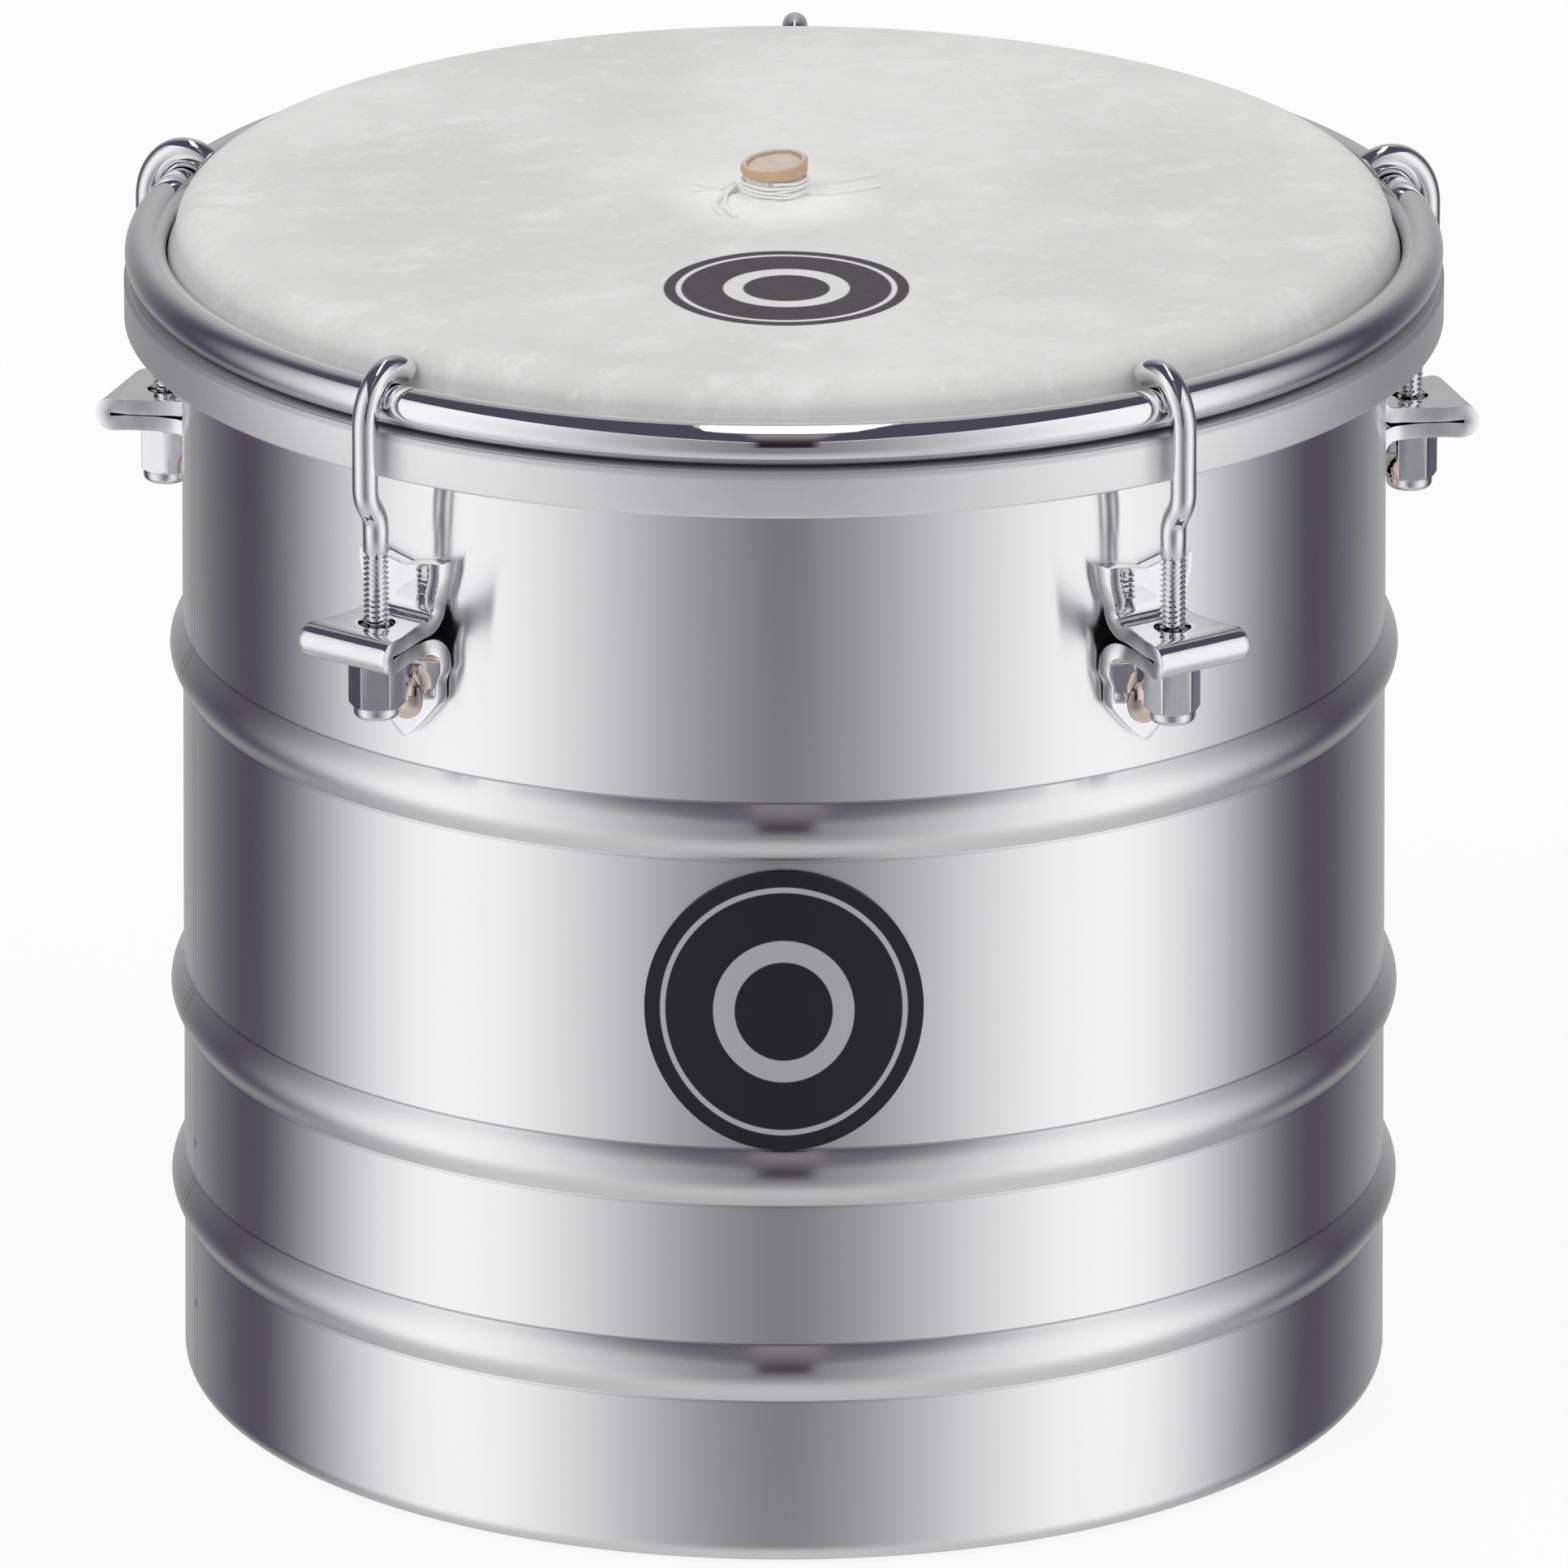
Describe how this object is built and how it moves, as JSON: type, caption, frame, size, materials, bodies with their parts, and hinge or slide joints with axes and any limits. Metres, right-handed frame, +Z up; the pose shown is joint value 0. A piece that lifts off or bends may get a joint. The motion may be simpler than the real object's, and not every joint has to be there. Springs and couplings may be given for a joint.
{
  "type": "cuica",
  "caption": "Friction drum: open aluminium shell with rolled beads, skin head under a rod hoop pulled down by hooks, and a rod tied to the middle of the skin.",
  "frame": {"origin": "on the floor plane, at the middle of the footprint box of the drum standing on its open rim", "axes": "+Z up from the open bottom rim to the skin, the shortest side of the box; +X to the right and -Y to the front, where the badge is"},
  "size_m": [0.2702, 0.2661, 0.2449],
  "materials": {
    "shell_aluminium": "satin rolled sheet with vertical reflections and three rolled beads",
    "badge": "black satin foil disc",
    "hoop_chrome": "bright chrome plating on steel rod",
    "band_aluminium": "bright rolled aluminium",
    "goat_skin": "matt translucent white goat skin with faint mottling",
    "bamboo": "bare bamboo with fine end grain",
    "twine": "white cotton string",
    "lug_chrome": "bright chrome plating on steel",
    "nut_chrome": "darker bright chrome on hexagon nuts",
    "rivet_nickel": "warm nickel plated domes"
  },
  "bodies": {
    "drum": {"shell": "shell_aluminium", "shell_badge": "badge", "counter_hoop": "hoop_chrome", "flesh_hoop": "band_aluminium", "skin": "goat_skin", "lug_bracket_1": "lug_chrome", "bracket_rivet_1": "rivet_nickel", "rivet_washer_1": "band_aluminium", "lug_bracket_2": "lug_chrome", "bracket_rivet_2": "rivet_nickel", "rivet_washer_2": "band_aluminium", "lug_bracket_3": "lug_chrome", "bracket_rivet_3": "rivet_nickel", "rivet_washer_3": "band_aluminium", "lug_bracket_4": "lug_chrome", "bracket_rivet_4": "rivet_nickel", "rivet_washer_4": "band_aluminium", "lug_bracket_5": "lug_chrome", "bracket_rivet_5": "rivet_nickel", "rivet_washer_5": "band_aluminium"},
    "stick": {"stick": "bamboo", "skin_neck": "goat_skin", "tie_string": "twine"},
    "nut_1": {"tension_nut_1": "nut_chrome"},
    "hook_1": {"tension_hook_1": "lug_chrome"},
    "nut_2": {"tension_nut_2": "nut_chrome"},
    "hook_2": {"tension_hook_2": "lug_chrome"},
    "nut_3": {"tension_nut_3": "nut_chrome"},
    "hook_3": {"tension_hook_3": "lug_chrome"},
    "nut_4": {"tension_nut_4": "nut_chrome"},
    "hook_4": {"tension_hook_4": "lug_chrome"},
    "nut_5": {"tension_nut_5": "nut_chrome"},
    "hook_5": {"tension_hook_5": "lug_chrome"}
  },
  "joints": [
    {"name": "stick_travel", "type": "slide", "parent": "drum", "child": "stick", "axis": [0, 0, 1], "range_m": [-0.002, 0.002], "stiffness_N_per_m": 800},
    {"name": "nut_1_turn", "type": "hinge", "parent": "drum", "child": "nut_1", "pos_m": [0, 0.12215, 0.172], "axis": [0, 0, 1], "range_deg": [0, 1440]},
    {"name": "hook_1_slide", "type": "slide", "parent": "drum", "child": "hook_1", "axis": [0, 0, 1], "range_m": [0, 0.00423]},
    {"name": "nut_2_turn", "type": "hinge", "parent": "drum", "child": "nut_2", "pos_m": [-0.12154, 0.03384, 0.172], "axis": [0, 0, 1], "range_deg": [0, 1440]},
    {"name": "hook_2_slide", "type": "slide", "parent": "drum", "child": "hook_2", "axis": [0, 0, 1], "range_m": [0, 0.00423]},
    {"name": "nut_3_turn", "type": "hinge", "parent": "drum", "child": "nut_3", "pos_m": [-0.07512, -0.10904, 0.172], "axis": [0, 0, 1], "range_deg": [0, 1440]},
    {"name": "hook_3_slide", "type": "slide", "parent": "drum", "child": "hook_3", "axis": [0, 0, 1], "range_m": [0, 0.00423]},
    {"name": "nut_4_turn", "type": "hinge", "parent": "drum", "child": "nut_4", "pos_m": [0.07512, -0.10904, 0.172], "axis": [0, 0, 1], "range_deg": [0, 1440]},
    {"name": "hook_4_slide", "type": "slide", "parent": "drum", "child": "hook_4", "axis": [0, 0, 1], "range_m": [0, 0.00423]},
    {"name": "nut_5_turn", "type": "hinge", "parent": "drum", "child": "nut_5", "pos_m": [0.12154, 0.03384, 0.172], "axis": [0, 0, 1], "range_deg": [0, 1440]},
    {"name": "hook_5_slide", "type": "slide", "parent": "drum", "child": "hook_5", "axis": [0, 0, 1], "range_m": [0, 0.00423]}
  ],
  "couplings": [
    {"joint": "nut_1_turn", "follows": "hook_1_slide", "rad_per_m": 5936.8},
    {"joint": "nut_2_turn", "follows": "hook_2_slide", "rad_per_m": 5936.8},
    {"joint": "nut_3_turn", "follows": "hook_3_slide", "rad_per_m": 5936.8},
    {"joint": "nut_4_turn", "follows": "hook_4_slide", "rad_per_m": 5936.8},
    {"joint": "nut_5_turn", "follows": "hook_5_slide", "rad_per_m": 5936.8}
  ]
}
